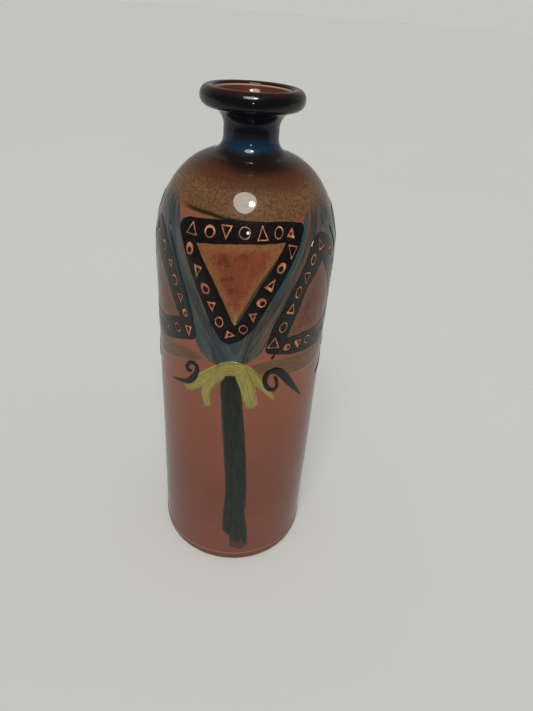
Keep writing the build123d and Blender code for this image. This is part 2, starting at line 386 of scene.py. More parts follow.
def outside_colour(recipe, place):
    """The colour of the whole outside, from the red clay below to the dark collar."""
    across, depth, height = recipe.apart(place)
    drift = recipe.clouds(place, 30 * MM, 2.0, 0.5, 1.0) - 0.5
    jitter = recipe.clouds(place, 3 * MM, 3.0, 0.6, 2.0) - 0.5
    thrice = across.math("ARCTAN2", across, 0 - depth) * REPEATS + 2.6
    wavy = height + drift * 0.0030 + jitter * 0.0011 - thrice.math("COSINE", thrice) * 0.0014
    clay = clay_colour(recipe, place, height)
    above = wavy - SLIP_LINE
    slip = shoulder_colour(recipe, place, wavy)
    colour = recipe.mix(above.step(0, 0.8 * MM), clay, slip)
    line = above.step(-1.0 * MM, 0.2 * MM) * (1 - above.step(0.6 * MM, 2.0 * MM))
    heavy = (thrice.math("SINE", thrice) * 0.8 + drift).step(-0.1, 0.5)
    colour = recipe.mix(line * heavy, colour, GREEN_LINE)
    slipped = height.step(SLIP_LINE - 1.4 * MM, SLIP_LINE + 2.6 * MM)
    specks = flecks(recipe, place, 1.0 * MM, 0.66) * slipped
    rare = flecks(recipe, place, 2.4 * MM, 0.34)
    return recipe.mix(specks * 0.55 + rare * 0.35, colour, IRON_DARK)


def glazed_clay():
    """The shared outside finish, bare where the foot stands on the table."""
    recipe = Recipe("glazed_clay")
    place = recipe.place()
    bare = 1 - recipe.apart(place)[2].step(0.0012, 0.0022)
    colour = recipe.mix(bare, outside_colour(recipe, place), RAW_CLAY)
    grain = recipe.clouds(place, 1.1 * MM, 3.0, 0.6, 7.0)
    rough = 0.30 + bare * 0.45 + grain * 0.08
    return recipe.finish(colour, rough, coat=1 - bare, bump=grain, depth=0.04 * MM)


GLAZED_CLAY = glazed_clay()
print("made", GLAZED_CLAY.name)

# %% [markdown]
# ## Neck, lip and lining
# The neck is banded with cobalt while the pot turns, the lip is dipped in an iron glaze that
# breaks to red-brown where it thins over the edge, and the inside is washed with an amber glaze.

# %% Finishes of the neck, the lip and the lining
def neck_glaze():
    """Cobalt blue with the brush's rings, darker just under the lip."""
    recipe, place, height, mottle = started("cobalt_neck", 3 * MM)
    rings = recipe.clouds(recipe.scaled(place, (30.0, 30.0, 700.0)), 1.0, 2.0, 0.5)
    wide = recipe.clouds(place, 9 * MM, 2.0, 0.5, 6.0)
    level = height + (wide - 0.5) * 0.006 + (mottle - 0.5) * 0.002
    blue = level.step(COLLAR_Z + 0.8 * MM, COLLAR_Z + 4.6 * MM)
    blue = blue * (1 - level.step(NECK_TOP - 4.8 * MM, NECK_TOP + 0.5 * MM))
    brushed = (blue * (0.35 + rings * 0.5 + mottle * 0.5)).least(1.0)
    colour = recipe.mix(brushed, IRON_DARK, NAVY_LIGHT)
    colour = recipe.mix(height.step(NECK_TOP - 1.0 * MM, NECK_TOP + 1.0 * MM), colour, NAVY)
    return recipe.finish(colour, 0.28 + mottle * 0.1, bump=mottle)


def lip_glaze():
    """Iron brown-black, breaking to red-brown on the rim and blue-black underneath."""
    recipe, place, height, mottle = started("iron_lip", 4 * MM)
    rim = height.step(HEIGHT - 3.0 * MM, HEIGHT - 0.3 * MM) * (0.4 + mottle)
    colour = recipe.mix(rim * 0.35, BLACK_SLIP, IRON_BROWN)
    under = 1 - height.step(HEIGHT - 9.0 * MM, HEIGHT - 6.0 * MM)
    colour = recipe.mix(under, colour, NAVY)
    return recipe.finish(colour, 0.26 + mottle * 0.12, bump=mottle)


def lining_glaze():
    """Amber glaze, thin and pale at the mouth's edge and darker down the bore as painted shade."""
    recipe, place, height, mottle = started("amber_lining", 5 * MM)
    # Darker lower in the bore: painted shade inside the narrow neck.
    bore_shade = 1 - height.step(HEIGHT - 26 * MM, HEIGHT - 6 * MM)
    colour = recipe.mix(bore_shade, AMBER, AMBER_SHADE)
    colour = recipe.mix(mottle.step(0.35, 0.75) * 0.35, colour, IRON_BROWN)
    worn = height.step(MOUTH_EDGE - 0.9 * MM, MOUTH_EDGE - 0.2 * MM)
    colour = recipe.mix(worn, colour, WORN_RIM)
    return recipe.finish(colour, 0.30 + mottle * 0.1, bump=mottle)


NECK_GLAZE = neck_glaze()
LIP_GLAZE = lip_glaze()
LINING_GLAZE = lining_glaze()
print("made", NECK_GLAZE.name, LIP_GLAZE.name, LINING_GLAZE.name)

# %% [markdown]
# ## Turning the clay pieces
# Each clay piece is a ring. Its cross-section is drawn once with a few points and arcs and then
# spun, which is exactly what a wheel does. The straight runs are divided first, so that the
# finger rings can bend them, and the piece is swollen by the same function as everything else.

# %% Helpers for turned pieces
TURN_STEPS = 180
ROW = 2.0 * MM


def arc(centre, wide, high, start, end, steps):
    """Points along part of an ellipse, with angles in degrees from the outward direction."""
    points = []
    for index in range(steps + 1):
        angle = math.radians(start + (end - start) * index / steps)
        points.append((centre[0] + wide * math.cos(angle), centre[1] + high * math.sin(angle)))
    return points


def joined(*runs):
    """One outline from several runs of points, with shared ends kept once."""
    points = []
    for point in (point for run in runs for point in run):
        if not points or math.dist(points[-1], point) > 0.01 * MM:
            points.append(point)
    return points


def divide(bm, length):
    """Divides every edge that is longer than a length."""
    for edge in list(bm.edges):
        cuts = int(edge.calc_length() / length)
        if cuts:
            bmesh.ops.subdivide_edges(bm, edges=[edge], cuts=cuts)


def in_scene(name, data):
    """A new object in the scene."""
    item = bpy.data.objects.new(name, data)
    bpy.context.scene.collection.objects.link(item)
    return item


def made_of(bm, name, material):
    """Turns a bmesh into an object with one material."""
    mesh = bpy.data.meshes.new(name)
    bm.to_mesh(mesh)
    bm.free()
    mesh.materials.append(material)
    return in_scene(name, mesh)


def hand_over(bm, name, material, nodes):
    """Turns a bmesh into a finished piece that rides on the vase and stands for CAD nodes."""
    piece = made_of(bm, name, material)
    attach(piece, "root")
    if nodes:
        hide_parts(*nodes)
    return piece


def turned(name, section, material, slot, node):
    """A ring of clay or glaze: its section spun round the axis and swollen like the pot."""
    bm = bmesh.new()
    corners = [bm.verts.new((radius, 0, height)) for radius, height in section]
    for first, second in zip(corners, corners[1:] + corners[:1]):
        bm.edges.new((first, second))
    divide(bm, ROW)
    bmesh.ops.spin(
        bm, geom=bm.verts[:] + bm.edges[:], cent=(0, 0, 0), axis=(0, 0, 1), angle=2 * math.pi,
        steps=TURN_STEPS, use_merge=True,
    )
    bmesh.ops.remove_doubles(bm, verts=bm.verts, dist=0.002 * MM)
    bmesh.ops.recalc_face_normals(bm, faces=bm.faces)
    for vert in bm.verts:
        across = math.hypot(vert.co.x, vert.co.y)
        if across > 0.1 * MM:
            grown = 1 + swell(math.atan2(vert.co.x, -vert.co.y), vert.co.z) / BODY_R
            vert.co.x *= grown
            vert.co.y *= grown
    piece = hand_over(bm, name, material, [node])
    piece.data.shade_smooth()
    piece.data.set_sharp_from_angle(angle=math.radians(40))
    print(name, "faces:", len(piece.data.polygons))
    return piece


# %% [markdown]
# ## Foot and wall
# The floor slab carries the rounded foot edge, a flat ring to stand on and a shallow recess
# left by trimming. The wall stands in a step on the slab and ends in a tongue, over which the
# shoulder drops: that is how two thrown sections are luted together.

# %% Turn the foot and the wall
FOOT_RING_IN = BODY_R - FOOT_ROUND - 9 * MM
RECESS = 1.2 * MM
TONGUE_R = INNER_R + WALL / 2

foot_section = joined(
    arc((BODY_R - FOOT_ROUND, FOOT_ROUND), FOOT_ROUND, FOOT_ROUND, -90, 0, 8),
    [(INNER_R, FOOT_ROUND), (INNER_R, FLOOR_TOP), (0, FLOOR_TOP), (0, RECESS)],
    [(FOOT_RING_IN, RECESS), (FOOT_RING_IN + RECESS, 0)],
)
wall_section = joined(
    [(INNER_R, FOOT_ROUND), (BODY_R, FOOT_ROUND)],
    arc((BODY_R - 0.20 * MM, FOOT_BEAD), 0.60 * MM, 1.00 * MM, -66, 66, 6),
    [(BODY_R, SHOULDER_Z), (TONGUE_R, SHOULDER_Z)],
    [(TONGUE_R, SHOULDER_Z + JOINT_STEP), (INNER_R, SHOULDER_Z + JOINT_STEP)],
)
turned("foot_slab", foot_section, GLAZED_CLAY, "terracotta", "base_disc")
turned("thrown_wall", wall_section, GLAZED_CLAY, "terracotta", "body_wall")

# %% [markdown]
# ## Shoulder and neck
# The shoulder is collared in from the wall in one elliptical sweep. The neck is a collar set in
# its opening, and its foot is smoothed into the shoulder with a wet finger. The cobalt band is a
# layer of its own over the collar.

# %% Turn the shoulder, the collar and the blue band
DOME_CENTRE = (NECK_R, SHOULDER_Z)
DOME_END = math.degrees(math.acos(COLLAR_REACH))


def dome_inside(inset):
    """The shoulder's inner line, from the tongue joint to the collar's socket."""
    wide = INNER_R - SOCKET_R
    high = SOCKET_Z - SHOULDER_Z - JOINT_STEP
    centre = (SOCKET_R, SHOULDER_Z + JOINT_STEP)
    return arc(centre, wide - inset, high - inset, 0, 90, 28)


dome_section = joined(
    [(TONGUE_R, SHOULDER_Z + JOINT_STEP), (TONGUE_R, SHOULDER_Z), (BODY_R, SHOULDER_Z)],
    arc(DOME_CENTRE, SHOULDER_WIDE, SHOULDER_HIGH, 0, DOME_END, 40),
    [(COLLAR_R, COLLAR_Z), (SOCKET_R, COLLAR_Z)],
    dome_inside(0)[::-1],
)
FOOT_ANGLE = 180 + math.degrees(FOOT_TURN)
collar_foot = arc(FOOT_CENTRE, FOOT_CURVE, FOOT_CURVE, FOOT_ANGLE, 180, 14)
collar_section = joined(
    collar_foot,
    [(NECK_R, NECK_TOP), (SOCKET_R, NECK_TOP), (SOCKET_R, NECK_TOP + JOINT_STEP / 2)],
    [(BORE_R, NECK_TOP + JOINT_STEP / 2), (BORE_R, SOCKET_Z)],
    [(SOCKET_R, SOCKET_Z), (SOCKET_R, COLLAR_Z)],
)
BAND = 0.10 * MM
band_foot = arc(FOOT_CENTRE, FOOT_CURVE - BAND, FOOT_CURVE - BAND, 180, FOOT_ANGLE, 14)
band_section = joined(collar_foot, [(NECK_R, NECK_TOP), (NECK_R + BAND, NECK_TOP)], band_foot)
turned("domed_shoulder", dome_section, GLAZED_CLAY, "brown_glaze", "shoulder_dome")
turned("neck_collar_clay", collar_section, NECK_GLAZE, "blue_glaze", "neck_collar")
turned("cobalt_band", band_section, NECK_GLAZE, "blue_glaze", "neck_blue_slip")

# %% [markdown]
# ## Rolled lip and lining
# The mouth is flared and its edge rolled outwards into a thick ring that strengthens it and
# pours cleanly. The lining is a thin skin of glaze that follows the inside from the floor up
# to the mouth, so water never reaches the clay.

# %% Turn the lip and the lining
LIP_MIDDLE = LIP_R - LIP_HALF_WIDE
FLARE_HIGH = HEIGHT - 2 * LIP_HALF_HIGH - NECK_TOP
FUNNEL_BASE = NECK_TOP + JOINT_STEP / 2
FUNNEL_RISE = 8 * MM
FUNNEL_LEAN = 1.6 * MM


def mouth_line(inset):
    """The inside of the mouth, from the bore up and out to the rim."""
    knots = [
        (BORE_R, FUNNEL_BASE), (BORE_R, FUNNEL_BASE + FUNNEL_RISE),
        (MOUTH_R - FUNNEL_LEAN, FUNNEL_BASE + FUNNEL_RISE), (MOUTH_R, MOUTH_EDGE),
    ]
    curve = interpolate_bezier(*[Vector(knot) for knot in knots], 17)
    return [(point.x - inset, point.y) for point in curve]


lip_section = joined(
    [(BORE_R, FUNNEL_BASE), (SOCKET_R, FUNNEL_BASE), (SOCKET_R, NECK_TOP)],
    arc((LIP_MIDDLE, NECK_TOP), LIP_MIDDLE - NECK_R, FLARE_HIGH, 180, 90, 14),
    arc((LIP_MIDDLE, HEIGHT - LIP_HALF_HIGH), LIP_HALF_WIDE, LIP_HALF_HIGH, -90, 90, 22),
    arc((LIP_MIDDLE, MOUTH_EDGE), LIP_MIDDLE - MOUTH_R, HEIGHT - MOUTH_EDGE, 90, 180, 8),
    mouth_line(0)[::-1],
)
lining_section = joined(
    [(0, FLOOR_TOP), (INNER_R, FLOOR_TOP)],
    dome_inside(0),
    [(BORE_R, SOCKET_Z)],
    mouth_line(0),
    mouth_line(LINING)[::-1],
    [(BORE_R - LINING, SOCKET_Z - LINING), (SOCKET_R, SOCKET_Z - LINING)],
    dome_inside(LINING)[::-1],
    [(INNER_R - LINING, FLOOR_TOP + LINING), (0, FLOOR_TOP + LINING)],
)
turned("rolled_rim", lip_section, LIP_GLAZE, "dark_iron_glaze", "rolled_lip")
turned("amber_inside", lining_section, LINING_GLAZE, "amber_lining", "inner_glaze")

# %% [markdown]
# ## Slips and the scratched line
# A slip is coloured liquid clay. It dries as a skin a quarter of a millimetre thick, with a soft
# edge where the brush lifted. Each slip has its own finish. They read a "paint" map that lies
# flat along the pot: distance round the body across, height up, both in millimetres, or for a
# brush stroke the distance along it and the place across it. That is how bristle marks follow
# the brush. Where a slip is thin the red clay shows through, so those finishes borrow its colour.

# %% Finishes of the slips
def painted(recipe):
    """The paint map's two numbers."""
    return recipe.apart(recipe.add("ShaderNodeUVMap", {"uv_map": "paint"}))


def bristles(recipe, along, across, length, width, offset=0.0):
    """Streaks that run along the brush."""
    parts = {0: along / length, 1: across / width, 2: offset}
    vector = recipe.add("ShaderNodeCombineXYZ", None, parts)
    sockets = {"Vector": vector, "Scale": 1.0, "Detail": 3.0, "Roughness": 0.6}
    return recipe.add("ShaderNodeTexNoise", {"noise_dimensions": "2D"}, sockets)


def thin_over_clay(recipe, place, cover, colour):
    """A slip's colour where it is thick, the red clay's where it is worn thin."""
    return recipe.mix(cover, outside_colour(recipe, place), colour)


def black_slip():
    """Iron-black slip with a trace of brush marks and pinholes."""
    recipe, place, _, mottle = started("black_slip", 4 * MM, 4.0)
    colour = recipe.mix(mottle.step(0.35, 0.8), BLACK_SLIP, BLACK_THIN)
    pinholes = flecks(recipe, place, 1.6 * MM, 0.3)
    colour = recipe.mix(pinholes * 0.35, colour, PINHOLE)
    return recipe.finish(colour, 0.32 + mottle * 0.1, bump=mottle)


def scratched_clay():
    """The light clay that a needle lays bare, with slip left in the deepest marks and pale patches
    painted as highlights.
    """
    recipe, place, _, crumbs = started("scratched_clay", 0.9 * MM)
    wide = recipe.clouds(place, 4 * MM, 2.0, 0.5, 4.0)
    colour = recipe.mix(wide.step(0.40, 0.62), SCRATCHED_DEEP, SCRATCHED_CLAY)
    # Pale cream patches: painted highlights on the scratched clay.
    colour = recipe.mix(wide.step(0.55, 0.72) * 0.8, colour, SCRATCHED_HIGHLIGHT)
    colour = recipe.mix(1 - crumbs.step(0.30, 0.42), colour, SLIP_CRUMB)
    return recipe.finish(colour, 0.35 + crumbs * 0.1, bump=crumbs, depth=0.05 * MM)


def ochre_slip(name, shade):
    """Ochre slip, redder away from the edges, speckled with brown iron; shade darkens all of it as
    painted shade.
    """
    recipe, place, _, drift = started(name, 9 * MM)
    across, up = painted(recipe)[:2]
    rim = recipe.add("ShaderNodeAttribute", {"attribute_name": "rim"}, output=2)
    mottle = recipe.clouds(place, 2.2 * MM, 4.0, 0.65, 2.0)
    inside = (rim + (drift - 0.5) * 6.0).step(2.2, 5.6)
    colour = recipe.mix(inside, OCHRE, FIELD_RED)
    colour = recipe.mix(mottle.step(0.35, 0.75) * 0.45, colour, OCHRE_IRON)
    pool = 1 - (across + (drift - 0.5) * 3.0).size().step(0.3, 1.6)
    pool = pool * (1 - up.step(197.0, 203.0))
    colour = recipe.mix(pool * mottle.step(0.40, 0.55) * 0.7, colour, POOL_CREAM)
    streak = bristles(recipe, up, across, 26.0, 2.4)
    colour = recipe.mix(streak.step(0.52, 0.74) * 0.30, colour, OCHRE)
    smear = recipe.clouds(place, 7 * MM, 3.0, 0.6, 9.0).step(0.52, 0.68) * inside
    colour = recipe.mix(smear * 0.50, colour, SHADE_BROWN)
    dark = flecks(recipe, place, 1.7 * MM, 0.5)
    fine = flecks(recipe, place, 1.1 * MM, 0.62) * (1 - inside)
    # Iron specks, and the shade share: painted shade over the whole slip.
    colour = recipe.mix((dark * 0.7 + fine * 0.5 + shade).least(1.0), colour, SHADE_BROWN)
    return recipe.finish(colour, 0.30 + mottle * 0.12, bump=mottle)


def wash_slip():
    """Blue-grey wash on the left arm, turning to mauve with turquoise streaks on the right."""
    recipe, place, _, mottle = started("blue_grey_wash", 3 * MM)
    across, up = painted(recipe)[:2]
    left = 0 - across - (up - 191.8) * 0.455 - 12.7
    right = across - (up - 192.1) * 0.504 - 9.6
    side = (across + 3.0).step(0.0, 12.0)
    offset = recipe.between(side, left, right)
    streak = bristles(recipe, up, offset, 30.0, 2.4)
    streaks = streak * 0.5 + bristles(recipe, up, offset, 45.0, 6.0, 3.0) * 0.5
    blue = recipe.mix(streaks.step(0.38, 0.66), WASH_BLUE, WASH_PALE)
    cool = recipe.clouds(place, 16 * MM, 2.0, 0.5, 8.0).step(0.46, 0.62)
    blue = recipe.mix(cool * (0.70 - up.step(180.0, 205.0) * 0.35), blue, WASH_COOL)
    dusk = recipe.mix(streaks.step(0.38, 0.60), DUSK_GREY, MAUVE)
    near = 1 - offset.step(1.0, 4.5)
    dusk = recipe.mix(near * 0.5, dusk, blue)
    edge = 1 - (offset - 1.8).size().step(0.8, 2.6)
    line = edge * streak.step(0.30, 0.50) * up.step(200.0, 214.0)
    dusk = recipe.mix(line * 0.85, dusk, TURQUOISE)
    colour = recipe.mix(side * up.step(172.0, 186.0), blue, dusk)
    cover = (0.80 + streak * 0.55 - (1 - mottle.step(0.25, 0.5)) * 0.25).least(1.0)
    cover = cover * (1 - (up + (streak - 0.5) * 7.0).step(247.5, 254.0))
    colour = thin_over_clay(recipe, place, cover, colour)
    dark = flecks(recipe, place, 2.0 * MM, 0.35)
    colour = recipe.mix(dark * 0.5, colour, IRON_DARK)
    return recipe.finish(colour, 0.32 + mottle * 0.12, bump=streak, depth=0.04 * MM)


def brushed_slip(name, dark, light, cover_low, dry=0.0, feather=0.0):
    """A slip laid in one stroke, with bristle marks, and a dry lower end or feathered sides."""
    recipe, place, height, mottle = started(name, 2.5 * MM)
    along, across = painted(recipe)[:2]
    streak = bristles(recipe, along, across, 9.0, 0.16)
    broad = bristles(recipe, along, across, 22.0, 0.55, 5.0)
    colour = recipe.mix((streak * 0.6 + broad * 0.5).step(0.36, 0.72), dark, light)
    cover = (cover_low + streak * 0.9).least(1.0)
    if dry:
        fade = (height - (streak - 0.5) * 0.020).step(dry, dry + 0.030)
        cover = cover.least(0.25 + fade)
    if feather:
        cover = cover * (1 - across.size() + (streak - 0.5) * 0.5).step(0.0, feather)
    colour = thin_over_clay(recipe, place, cover, colour)
    return recipe.finish(colour, 0.32 + mottle * 0.1, bump=streak, depth=0.04 * MM)


BLACK = black_slip()
SCRATCHED = scratched_clay()
OCHRE_FIELD = ochre_slip("ochre_slip", 0.0)
# A darker copy of the ochre for the standing triangles: painted shade, as they lie towards the
# sides.
SHADED_FIELD = ochre_slip("shaded_ochre_slip", 0.38)
WASH = wash_slip()
LEAF_GREEN = brushed_slip("leaf_green_slip", LEAF_DARK, LEAF, 0.66)
STEM_GREY = brushed_slip("charcoal_slip", CHARCOAL, CHARCOAL_GREEN, 0.72, dry=0.004)
CURL_BLACK = brushed_slip("charcoal_curl_slip", BLACK_SLIP, CHARCOAL, 0.85)
OLIVE = brushed_slip("olive_slip", OLIVE_THIN, OLIVE_BAND, 0.46, feather=0.6)
OLIVE_EDGE = brushed_slip("olive_edge_slip", EDGE_DARK, EDGE_OLIVE, 0.75)
NAVY_EDGE = brushed_slip("navy_edge_slip", NAVY_DEEP, NAVY_LINE, 0.95)
SMUDGE = brushed_slip("green_smudge_slip", OLIVE_GREEN, LEAF_DARK, 0.40, feather=0.8)
print("last slip made:", SMUDGE.name)

# %% [markdown]
# ## Laying a skin of slip on the pot
# A patch of slip is first drawn flat, as if the pot were unrolled: lines of edges for its
# outline and for each scratched mark, filled like a stencil. It is then cut into small squares
# so that it can bend, given its thickness and a soft edge, and rolled on to the pot by the
# function that made the pot's own surface. The marks are real cut-outs in the black skin, as
# they are on the vase.

# %% Helpers for flat patches
GRID = 2.0 * MM
WOBBLE = 0.22 * MM
STROKE_BED = -0.04


def hand_drift(place, azimuth, size):
    """How a hand strays at a flat place, from -1 to 1 each way."""
    angle = azimuth + place.x / BODY_R
    spot = Vector((BODY_R * math.sin(angle), BODY_R * math.cos(angle), place.y)) / size
    return Vector((noise.noise(spot), noise.noise(spot + Vector((7, 3, 5))), 0))


def outline_ring(bm, points, rounding, azimuth):
    """A closed line of edges, in millimetres, with rounded corners and a hand's wobble."""
    line = bmesh.new()
    corners = [line.verts.new((x * MM, z * MM, 0)) for x, z in points]
    for first, second in zip(corners, corners[1:] + corners[:1]):
        line.edges.new((first, second))
    return loosened(bm, line, rounding * MM, 1.4 * MM, azimuth)


def loosened(bm, line, rounding, step, azimuth):
    """Rounds a line's corners, divides it, lets it wobble, and adds it to a patch."""
    bmesh.ops.bevel(
        line, geom=line.verts[:], offset=rounding, offset_type="OFFSET", affect="VERTICES",
        segments=4, profile=0.5, material=-1, clamp_overlap=True,
    )
    bmesh.ops.remove_doubles(line, verts=line.verts, dist=0.03 * MM)
    divide(line, step)
    copies = {}
    for vert in line.verts:
        copies[vert] = bm.verts.new(vert.co + hand_drift(vert.co, azimuth, 3.2 * MM) * WOBBLE)
    edges = [bm.edges.new([copies[vert] for vert in edge.verts]) for edge in line.edges]
    line.free()
    return edges


def fill(bm, edges):
    """Fills rings of edges like a stencil: inner rings are left open."""
    bmesh.ops.triangle_fill(bm, use_beauty=True, use_dissolve=False, edges=edges, normal=(0, 0, 1))


def cut_grid(bm, size):
    """Cuts a flat patch into squares that are small enough to bend."""
    for axis in (0, 1):
        values = [vert.co[axis] for vert in bm.verts]
        normal = (1, 0, 0) if axis == 0 else (0, 1, 0)
        for index in range(math.ceil(min(values) / size), math.ceil(max(values) / size)):
            point = (index * size, index * size, 0)
            geometry = bm.verts[:] + bm.edges[:] + bm.faces[:]
            bmesh.ops.bisect_plane(
                bm, geom=geometry, dist=0.01 * MM, plane_co=point, plane_no=normal
            )


def thicken(bm, low, high, soft):
    """Gives a flat patch its thickness, with a soft upper edge."""
    made = bmesh.ops.extrude_face_region(bm, geom=bm.faces[:])["geom"]
    raised = [item for item in made if isinstance(item, bmesh.types.BMVert)]
    for vert in bm.verts:
        vert.co.z = low * MM
    for vert in raised:
        vert.co.z = high * MM
    bmesh.ops.recalc_face_normals(bm, faces=bm.faces)
    bm.normal_update()
    if soft:
        sides = {edge: [round(face.normal.z) for face in edge.link_faces] for edge in bm.edges}
        rim = [edge for edge in bm.edges if sorted(sides[edge]) == [0, 1]]
        bmesh.ops.bevel(
            bm, geom=rim, offset=soft * MM, affect="EDGES", segments=1, profile=0.5, material=-1
        )
    bm.normal_update()
    for face in bm.faces:
        face.smooth = face.normal.z > 0.98


def note(bm, name):
    """A number kept at every vertex, under a name."""
    return bm.verts.layers.float.get(name) or bm.verts.layers.float.new(name)


def roll_on(bm, azimuth):
    """Rolls flat slip on to the pot, with the noted flat place as its paint map."""
    across, up = note(bm, "across"), note(bm, "up")
    paint = bm.loops.layers.uv.new("paint")
    for face in bm.faces:
        for loop in face.loops:
            loop[paint].uv = (loop.vert[across], loop.vert[up])
    for vert in bm.verts:
        vert.co = on_pot(vert.co.x, vert.co.y, vert.co.z, azimuth)


def true_gloss(piece):
    """Gives the flat tops of a patch the pot's own normals, so its gloss is unbroken."""
    mesh = piece.data
    known = {}
    normals = [(0, 0, 0)] * len(mesh.loops)
    for polygon in mesh.polygons:
        if polygon.use_smooth:
            for loop in polygon.loop_indices:
                corner = mesh.loops[loop].vertex_index
                if corner not in known:
                    place = mesh.vertices[corner].co
                    known[corner] = pot_normal(BODY_R * math.atan2(place.x, -place.y), place.z, 0)
                normals[loop] = known[corner]
    mesh.normals_split_custom_set(normals)


def patch(name, rings, azimuth, lifts, material, nodes=(), islands=()):
    """A skin of slip: rings of (points, rounding) with holes, and islands filled by themselves."""
    bm = bmesh.new()
    edges = []
    for points, rounding in rings:
        edges += outline_ring(bm, points, rounding, azimuth)
    for mark in islands:
        edges += scratch_ring(bm, mark, 0, azimuth)
    fill(bm, edges)
    for mark in islands:
        fill(bm, scratch_ring(bm, mark, NEEDLE, azimuth))
    cut_grid(bm, GRID)
    thicken(bm, *lifts)
    across, up = note(bm, "across"), note(bm, "up")
    for vert in bm.verts:
        vert[across] = vert.co.x / MM
        vert[up] = vert.co.y / MM
    roll_on(bm, azimuth)
    piece = hand_over(bm, name, material, list(nodes))
    true_gloss(piece)
    return piece


# %% [markdown]
# ## Scratched marks
# The needle draws small rings and triangles through the wet black slip. Every mark is a ring
# between an outer line and an inner one. Some are scraped wider on one side, so the inner line
# is smaller and shifted away from that side, and a few are scraped out almost whole.

# %% The marks and how one is drawn
NEEDLE = 0.54
SCRAPE_SHIFT = 0.55
SCRAPE_WIDEN = 0.6


def scratch_ring(bm, mark, inset, azimuth):
    """One line of a mark: kind, x, z, width, height, then turn, scraped share and its side."""
    kind, x, z, wide, high, turn, scraped, side = (*mark, 0, 0, 0)[:8]
    triangle = kind == "tri"
    steps = 3 if triangle else 18
    line = bmesh.new()
    made = bmesh.ops.create_circle(line, cap_ends=False, segments=steps, radius=1.0)["verts"]
    span = (math.sqrt(3) / 2, 0.75) if triangle else (1, 1)
    inradius = min(wide, high) / 2
    if triangle:
        inradius = wide * high / (wide + math.hypot(wide, 2 * high))
    keep = 1 - inset / inradius
    lean = Vector((math.cos(math.radians(side)), math.sin(math.radians(side)), 0))
    shift = Vector()
    if inset:
        shift = lean * (-scraped * keep * inradius * SCRAPE_SHIFT)
        keep *= 1 - SCRAPE_WIDEN * scraped
    size = Matrix.Diagonal((wide / 2 / span[0] * keep, high / 2 / span[1] * keep, 1, 1))
    turned_by = Matrix.Rotation(math.radians(turn), 4, "Z")
    lift = Matrix.Translation(((x + shift.x) * MM, (z + shift.y) * MM, 0))
    matrix = lift @ Matrix.Scale(MM, 4) @ turned_by @ size
    bmesh.ops.transform(line, matrix=matrix, verts=made)
    rounding = 0.35 * MM if triangle else 0.01 * MM
    return loosened(bm, line, rounding, 0.9 * MM, azimuth)


# %% [markdown]
# ## The triangles that point down
# Three black triangles hang point down round the shoulder. The marks follow the band: a row
# along the top and a file down each side. The front one is laid out mark by mark, and the other
# two repeat it from the same hand, each with its own wobble because the wobble belongs to the
# place on the pot.

# %% Lay the triangles that point down
DOWN_EDGE = [
    (-34.8, 239.9), (-33.8, 243.6), (-29.5, 245.4), (-12.0, 246.9), (0.2, 247.5), (24.5, 247.3),
    (35.6, 245.8), (36.2, 243.2), (19.1, 210.3), (9.8, 192.1), (3.9, 185.3), (-2.7, 181.7),
    (-7.2, 183.4), (-12.9, 191.8), (-22.4, 213.6), (-30.2, 231.7),
]
DOWN_WINDOW = [
    (-22.4, 234.8), (0.9, 237.3), (24.3, 237.9), (12.8, 218.5), (2.2, 196.5), (-0.4, 193.4),
    (-11.6, 217.1),
]
DOWN_MARKS = [
    ("tri", -26.2, 239.9, 7.2, 6.4), ("ring", -15.6, 241.2, 6.0, 6.0, 0, 0.25, 80),
    ("tri", -6.8, 242.9, 6.4, 6.8, 180, 0.15, 270), ("ring", 2.7, 242.4, 6.2, 6.0),
    ("tri", 12.0, 241.6, 6.0, 7.2, 4), ("ring", 20.6, 242.6, 4.8, 6.0, -22),
    ("tri", 27.6, 241.6, 4.8, 5.0, -14, 0.65, 300),
    ("ring", -26.0, 231.0, 4.6, 6.4, 6, 0.60, 90), ("tri", -20.9, 221.3, 4.8, 7.4, 172, 0.45, 150),
    ("ring", -16.4, 212.2, 4.8, 6.4, 24, 0.50, 130),
    ("tri", -12.8, 203.5, 5.0, 5.8, 188, 0.50, 150),
    ("ring", -8.4, 194.6, 4.6, 6.4, 8), ("tri", -3.0, 187.7, 6.2, 4.6, 24, 0.60, 200),
    ("ring", 4.3, 191.7, 4.8, 5.2), ("tri", 8.9, 199.6, 4.8, 5.6, 184, 0.60, 260),
    ("ring", 12.9, 207.4, 5.2, 5.2, 0, 0.55, 140), ("tri", 16.9, 216.6, 5.2, 7.2, -32, 0.50, 220),
    ("ring", 22.0, 225.8, 4.4, 6.0, -26, 0.45, 60), ("tri", 27.9, 234.0, 5.6, 7.2, 168),
]
GROUND = (0.00, 0.06, 0.0)
SKIN = (0.02, 0.27, 0.07)
THIN_SKIN = (0.02, 0.13, 0.05)
WASH_SKIN = (-0.02, 0.035, 0.0)


def shrunk(points, share):
    """An outline pulled in towards its middle."""
    middle = Vector((sum(x for x, z in points), sum(z for x, z in points))) / len(points)
    return [tuple(middle + (Vector(point) - middle) * share) for point in points]


def rim_distance(piece):
    """Stores how far each place of a patch is from its edge, in millimetres."""
    mesh = piece.data
    bm = bmesh.new()
    bm.from_mesh(mesh)
    tops = [face for face in bm.faces if face.smooth]
    corners = {vert for face in tops for vert in face.verts}
    border = [vert.co for vert in corners if not all(face.smooth for face in vert.link_faces)]
    values = [min((vert.co - other).length for other in border) / MM for vert in bm.verts]
    bm.free()
    rim = mesh.attributes.new("rim", "FLOAT", "POINT")
    rim.data.foreach_set("value", values)


